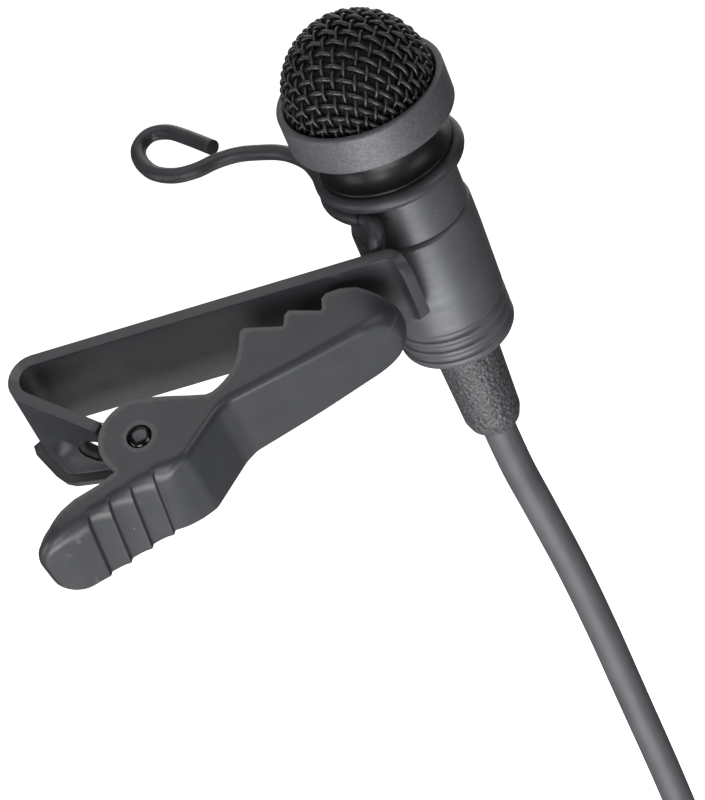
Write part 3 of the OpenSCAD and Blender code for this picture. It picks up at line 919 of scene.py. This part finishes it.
def inner_grid(outline, holes, step_x, step_y, gap):
    """Points of a grid inside an outline and outside its holes, further than a gap from them all."""
    left = min(p[0] for p in outline)
    low = min(p[1] for p in outline)
    edge_points = [q for ring in (outline, *holes) for q in ring]
    points = []
    for i in range(int((max(p[0] for p in outline) - left) / step_x) + 1):
        for j in range(int((max(p[1] for p in outline) - low) / step_y) + 1):
            point = Vector((left + step_x * (i + 0.5), low + step_y * (j + 0.5)))
            if not inside(point, outline) or any(inside(point, hole) for hole in holes):
                continue
            if all((point - q).length > gap for q in edge_points):
                points.append(point)
    return points


def soften(obj, width, segments):
    """Rounds a piece's sharp edges by width millimetres."""
    edge = obj.modifiers.new("edges", "BEVEL")
    edge.width = width * MM
    edge.segments = segments
    edge.limit_method = "ANGLE"
    edge.angle_limit = math.radians(50)
    weight_normals(obj)


def thicken(obj, thickness, offset, bevel, even=True):
    solid = obj.modifiers.new("thickness", "SOLIDIFY")
    solid.thickness = thickness * MM
    solid.offset = offset
    solid.use_even_offset = even
    solid.use_quality_normals = True
    soften(obj, bevel, 3)


def jaw_cheek(name, outline, low, high):
    """An upright plate from a flat outline, with softened edges."""
    count = len(outline)
    vertices = [(p[0], p[1], low) for p in outline] + [(p[0], p[1], high) for p in outline]
    faces = [tuple(range(count - 1, -1, -1)), tuple(range(count, 2 * count))]
    faces += [(i, (i + 1) % count, count + (i + 1) % count, count + i) for i in range(count)]
    cheek = mesh_object(name, vertices, faces, "clip", "clip", CLIP_PAINT, None, CLIP_TO_ROW)
    soften(cheek, 0.08, 2)


def make_fixed_jaw():
    outline = strip_outline()
    hole = strip_slot()
    points, faces = fill_outline(outline, [hole], inner_grid(outline, [hole], 0.3, 0.28, 0.16))
    vertices = [strip_place(p[0], p[1]) for p in points]
    jaw = mesh_object("jaw_strip", vertices, faces, "clip", "clip", CLIP_PAINT, "fixed_jaw", CLIP_TO_ROW)
    thicken(jaw, STRIP_T, 0, 0.09)
    make_slot_rim(hole)
    leg = Matrix.Rotation(math.radians(LEG_TURN), 2)
    foot = [leg @ Vector(p) for p in ((0.2, -0.9), (2.7, -0.9), (2.7, 0.7), (0.2, 0.7))]
    shape = hull([on_circle(1.6, a) for a in range(0, 360, 15)] + foot)
    for name, side in (("near", 1), ("far", -1)):
        low, high = sorted((2.32 * side, 2.9 * side))
        jaw_cheek("jaw_cheek_" + name, shape, low, high)


def hull(points):
    """Convex outline round some flat points."""
    points = sorted((round(p[0], 6), round(p[1], 6)) for p in points)

    def turns_left(a, b, c):
        return (b[0] - a[0]) * (c[1] - a[1]) - (b[1] - a[1]) * (c[0] - a[0]) > 0

    def half_of(order):
        out = []
        for p in order:
            while len(out) > 1 and not turns_left(out[-2], out[-1], p):
                out.pop()
            out.append(p)
        return out[:-1]

    return half_of(points) + half_of(points[::-1])


make_fixed_jaw()

# ---- Lever jaw: one pressed channel with rounded ends ----

LEVER_T = 0.6
LEVER_BACK = [
    (-7.6, -5.45), (-5.9, -5.2), (-4.2, -4.75), (-2.75, -4.2), (-1.35, -3.68), (0, -3.24), (1.5, -2.7),
    (2.45, -2.2), (4.75, 0.22), (5.5, 0.72), (10, 1.95), (14, 3.15), (15.3, 3.6), (16.3, 4.05),
]
KINK_ROOM = 0.16  # half the length over which the back turns from one slope to the next
EAR_R = 2.5
EAR_HOLE_R = 0.78
LEVER_TOP = [
    (-7.6, -4.78), (-7.1, -4.6), (-6.2, -4.05), (-5.3, -3.35), (-4.4, -2.85), (-3.6, -2.6), (-2.8, -2.35),
    (-2.1, -2.0), (-1.75, -1.85),
]
LEVER_TEETH = [
    (1.0, 2.38), (2.1, 2.1), (3.2, 1.78), (4.3, 1.52), (4.7, 1.58), (5.1, 1.8), (5.5, 2.1), (5.9, 2.45),
    (6.25, 2.9), (6.5, 3.4), (6.7, 3.95), (6.85, 4.5), (6.95, 5.0), (7.1, 5.2), (7.35, 5.27), (9.5, 4.72),
    (9.62, 4.85), (9.75, 5.45), (10.05, 5.7), (11.92, 5.12), (12.02, 5.3), (12.08, 5.9), (12.4, 6.22),
    (13.3, 6.32), (14.3, 6.12), (15.2, 5.6), (15.8, 5.15), (16.3, 4.85),
]
SPINE = (-5.0, 14.6)
GROOVES = (-4.2, -2.85, -1.45, 0.0)
GROOVE_DEPTH = 0.34
GROOVE_STEP = 0.14  # length of a groove's steep side
GROOVE_SLANT = 0.11  # how much a groove moves along the lever for each millimetre across it


def lever_plan():
    """Half of the lever's plan, from the middle of the thumb end to the middle of the tip."""
    corner = 2.6
    end_x = -7.6
    points = [Vector((end_x, y)) for y in (0, 0.3, 0.6, HALF_W - corner)]
    for a in range(6, 91, 6):
        back, out = on_circle(corner, a)
        points.append(Vector((end_x + corner - back, HALF_W - corner + out)))
    x = end_x + corner
    while x < 2.6:
        x += 0.045 if x < 1.4 else 0.12
        points.append(Vector((x, HALF_W)))
    nose = smooth_path([
        (x, HALF_W), (4, 3.54), (5.4, 3.46), (9.4, 3.2), (12.4, 2.98), (14.2, 2.8), (15.3, 2.38),
        (15.95, 1.65), (16.22, 0.85), (16.3, 0),
    ], 16)
    return points + [Vector((p[0], p[1])) for p in nose[1:]]


def straight(table, x):
    """The value at x of a table of (x, value) rows joined by straight lines."""
    for (x0, y0), (x1, y1) in zip(table, table[1:]):
        if x <= x1 or (x1, y1) == table[-1]:
            return y0 + (y1 - y0) * (x - x0) / (x1 - x0)


def lever_back(x):
    """Outer face of the lever's back, with its kinks just softened."""
    near = [x + KINK_ROOM * k / 3 for k in range(-3, 4)]
    return sum(straight(LEVER_BACK, q) for q in near) / len(near)


def lever_groove(x):
    """How far the thumb pad is pressed in: a steep step down at each groove, then a slow rise."""
    for start, end in zip(GROOVES, (*GROOVES[1:], GROOVES[-1] + 1.3)):
        if start <= x < start + GROOVE_STEP:
            return GROOVE_DEPTH * smoothstep(start, start + GROOVE_STEP, x)
        if start + GROOVE_STEP <= x < end:
            run = (x - start - GROOVE_STEP) / (end - start - GROOVE_STEP)
            return GROOVE_DEPTH * ((1 - run) ** 2 if start == GROOVES[-1] else 1 - run ** 1.7)
    return 0.0


def slanted(v):
    """A point of the lever's back moved along it, so that the grooves run at a slant."""
    reach = smoothstep(-7.2, -4.6, v.x) * (1 - smoothstep(0.6, 2.0, v.x))
    above = v.y - lever_back(v.x)
    shift = (GROOVE_SLANT * v.z - 0.06) * reach * (1 - smoothstep(0.5, 1.4, above))
    return Vector((v.x + shift, v.y + lever_back(v.x + shift) - lever_back(v.x), v.z))


def bend_radius(x):
    """Radius of the bend from the lever's back into its wall."""
    thumb = 0.5 * smoothstep(-7.3, -4.8, x) - 0.54 * smoothstep(0.2, 2.6, x)
    return 0.62 + thumb + 0.1 * smoothstep(8, 14, x)


def lever_sheet(plan):
    """Vertices and faces of half of the lever's back, from its spine out and round the bend."""
    web_rows = 12
    bend_rows = 8
    last = len(plan) - 1
    vertices = []
    for i, p in enumerate(plan):
        along = plan[min(i + 1, last)] - plan[max(i - 1, 0)]
        normal = Vector((-along.y, along.x)).normalized()
        if i in (0, last):
            normal = Vector((-1, 0)) if i == 0 else Vector((1, 0))
        radius = bend_radius(p.x)
        spine = Vector((min(SPINE[1], max(SPINE[0], p.x)), 0))
        foot = p - normal * radius
        foot.y = max(0, foot.y)
        for k in range(web_rows):
            q = spine.lerp(foot, k / web_rows)
            vertices.append(Vector((q.x, lever_back(q.x) + lever_groove(q.x), q.y)))
        for k in range(bend_rows + 1):
            across, rise = on_circle(1, 90 - 90 * k / bend_rows)
            q = foot + (p - foot) * across
            dent = lever_groove(q.x) * (1 - smoothstep(0, bend_rows, k))
            side = normal * (-dent * across)
            y = lever_back(q.x) + radius * (1 - rise) + dent * rise
            vertices.append(Vector((q.x + side.x, y, q.y + side.y)))
    per_row = web_rows + bend_rows + 1
    faces = []
    for i in range(last):
        for k in range(per_row - 1):
            a = i * per_row + k
            faces.append((a, a + 1, a + per_row + 1, a + per_row))
    return vertices, faces


def plan_reach(plan, travelled, x):
    """Distance travelled round the plan to where its side reaches x."""
    for i in range(1, len(plan)):
        before, after = plan[i - 1], plan[i]
        if after.x >= x - 1e-9 and after.y > 0:
            share = 0 if after.x == before.x else (x - before.x) / (after.x - before.x)
            return travelled[i - 1] + share * (travelled[i] - travelled[i - 1])
    return travelled[-1]


def plan_at(plan, travelled, u):
    for i in range(1, len(plan)):
        if u <= travelled[i] + 1e-9:
            share = (u - travelled[i - 1]) / (travelled[i] - travelled[i - 1])
            return plan[i - 1].lerp(plan[i], share)
    return plan[-1]


def lever_wall(plan):
    """Vertices and faces of half of the lever's wall, with its teeth and its ear. It is laid out flat,
    as (distance round the plan, height), and then wrapped round the plan."""
    travelled = [0.0]
    for before, after in zip(plan, plan[1:]):
        travelled.append(travelled[-1] + (after - before).length)

    def flat(x, y):
        return Vector((plan_reach(plan, travelled, x), y))

    pivot = flat(0, 0)
    bottom = [Vector((u, lever_back(p.x) + bend_radius(p.x))) for u, p in zip(travelled, plan)]
    top = [Vector((travelled[-1], LEVER_TEETH[-1][1]))]
    top += [flat(x, y) for x, y in reversed(LEVER_TEETH[:-1])]
    ear_x, ear_y = LEVER_TEETH[0]
    ear_start = int(math.degrees(math.atan2(ear_y, ear_x))) + 6
    top += [pivot + Vector(on_circle(EAR_R, a)) for a in range(ear_start, 223, 6)]
    top += [flat(x, y) for x, y in reversed(LEVER_TOP[1:])]
    top.append(Vector((0, LEVER_TOP[0][1])))
    hole = [pivot + Vector(on_circle(EAR_HOLE_R, a)) for a in range(0, 360, 10)]
    outline = bottom + subdivided(top, 0.25, closed=False)
    points, faces = fill_outline(outline, [hole], inner_grid(outline, [hole], 0.22, 0.22, 0.12))
    vertices = []
    for u, y in points:
        p = plan_at(plan, travelled, u)
        vertices.append(Vector((p.x, y, p.y)))
    return vertices, faces


def make_lever():
    plan = lever_plan()
    vertices, faces = lever_sheet(plan)
    wall_vertices, wall_faces = lever_wall(plan)
    start = len(vertices)
    vertices += wall_vertices
    faces += [tuple(start + i for i in face) for face in wall_faces]
    total = len(vertices)
    vertices += [Vector((v.x, v.y, -v.z)) for v in vertices]
    faces += [tuple(total + i for i in reversed(face)) for face in faces]
    vertices = [slanted(v) for v in vertices]
    lever = mesh_object("lever_shell", vertices, faces, "lever", "clip", CLIP_PAINT, "lever_jaw", CLIP_TO_ROW)
    point_outward(lever, CLIP_TO_ROW @ Vector((2, 0, 0)) * MM)
    thicken(lever, LEVER_T, -1, 0.1, even=False)


def point_outward(obj, middle):
    """Turns an open sheet's faces so that they look away from a point on most of its area."""
    mesh = obj.data
    total = sum(face.area * face.normal.dot(face.center - Vector(middle)) for face in mesh.polygons)
    if total < 0:
        mesh.flip_normals()


def make_rivet():
    head_z = HALF_W - 0.25
    half = [(0.5, head_z), (0.66, head_z), (0.7, head_z + 0.06)]
    dome = [on_circle(1, a) for a in range(10, 90, 10)]
    half += [(0.7 * c, head_z + 0.1 + 0.3 * s) for c, s in dome]
    half += [(0, head_z + 0.4)]
    outline = [(r, -z) for r, z in reversed(half)] + half
    revolve("pivot_pin", outline, 48, "clip", "clip", RIVET_METAL, "pivot_rivet", CLIP_TO_ROW)


make_lever()
make_rivet()

# ---- Strap round the coil ----

STRAP_W = 5
STRAP_T = 0.55
STRAP_Y = 4.98  # the strap's middle line, measured from the coil's centre
STRAP_LOW = 5.5
STRAP_HIGH = 18.05
STRAP_LAP = 11  # points of the loop that its end covers again


def make_strap():
    """A flat strap wound once round the coil, with its end laid over its start."""
    corners = [(-STRAP_Y, STRAP_LOW), (STRAP_Y, STRAP_LOW), (STRAP_Y, STRAP_HIGH), (-STRAP_Y, STRAP_HIGH)]
    loop = subdivided(fillet(corners, 1.3, 6), 0.8)
    count = len(loop)
    middle = sum(loop, Vector((0, 0))) / count
    rows = []
    for i in range(count + STRAP_LAP):
        along = (loop[(i + 1) % count] - loop[(i - 1) % count]).normalized()
        out = Vector((along.y, -along.x))
        if out.dot(loop[i % count] - middle) < 0:
            out = -out
        lift = (STRAP_T + 0.03) * smoothstep(count - 3, count, i)
        rows.append((loop[i % count] + out * lift, out))
    half, thick = STRAP_W / 2, STRAP_T / 2
    section = fillet([(-half, -thick), (half, -thick), (half, thick), (-half, thick)], 0.14, 3)
    vertices = []
    for i, (place, out) in enumerate(rows):
        wave = 0.05 * math.sin(1.7 * i)
        for across, off in section:
            q = place + out * (off + wave * (across / half) ** 2)
            vertices.append((COIL_CENTRE.x + across, COIL_CENTRE.y + q.x, COIL_CENTRE.z + q.y))
    faces = tube_faces(len(rows), len(section))
    strap = mesh_object("strap", vertices, faces, "microphone", "tie", STRAP, "coil_tie")
    weight_normals(strap)
    return strap


strap = make_strap()

# ---- Floor, lights and view ----


def make_floor():
    """A white floor, walls and ceiling, which the camera sees but which throw no light or shadow."""
    size = 3
    z = -0.5
    corners = [(-size, -size, z), (size, -size, z), (size, size, z), (-size, size, z)]
    corners += [(x, y, z + 2 * size) for x, y, _ in corners]
    mesh = bpy.data.meshes.new("floor")
    mesh.from_pydata(corners, [], [
        (0, 1, 2, 3), (4, 7, 6, 5), (0, 4, 5, 1), (1, 5, 6, 2), (2, 6, 7, 3), (3, 7, 4, 0),
    ])
    n = Nodes("floor_white")
    colour = n.ramp(n.noise(400), (0.93, 0.93, 0.93), (0.95, 0.95, 0.95))
    n.finish(colour, 0.8, specular=0.1)
    n.shader.inputs["Emission Color"].default_value = (1, 1, 1, 1)
    n.shader.inputs["Emission Strength"].default_value = 1.0
    mesh.materials.append(n.material)
    floor = bpy.data.objects.new("floor", mesh)
    floor.visible_diffuse = False
    floor.visible_glossy = False
    floor.visible_shadow = False
    SCENE.collection.objects.link(floor)


def area_light(name, place, size, power):
    data = bpy.data.lights.new(name, "AREA")
    data.shape = "RECTANGLE"
    data.size, data.size_y = size
    data.energy = power
    light = bpy.data.objects.new(name, data)
    light.location = place
    light.visible_camera = False
    aim = Vector((0.002, 0.004, 0)) - Vector(place)
    light.rotation_euler = aim.to_track_quat("-Z", "Y").to_euler()
    SCENE.collection.objects.link(light)


def make_lights():
    world = bpy.data.worlds.new("studio")
    world.use_nodes = True
    background = world.node_tree.nodes["Background"]
    background.inputs["Color"].default_value = (0.96, 0.98, 1, 1)
    background.inputs["Strength"].default_value = 0.08
    SCENE.world = world
    area_light("low", (-0.14, -0.5, -0.34), (0.55, 0.35), 4.3)
    area_light("front", (-0.26, -0.57, 0.1), (0.3, 0.35), 1.9)
    area_light("below", (-0.02, -0.1, -0.45), (0.5, 0.5), 0.45)
    area_light("left", (-0.55, -0.12, 0.02), (0.3, 0.4), 1.1)
    area_light("right", (0.45, -0.35, 0.25), (0.3, 0.4), 0.9)
    area_light("top", (0.0, 0.12, 0.6), (0.7, 0.7), 2.2)
    area_light("back", (0.2, 0.6, 0.0), (0.6, 0.6), 1.9)


make_floor()
make_lights()
SCENE.view_settings.view_transform = "Standard"
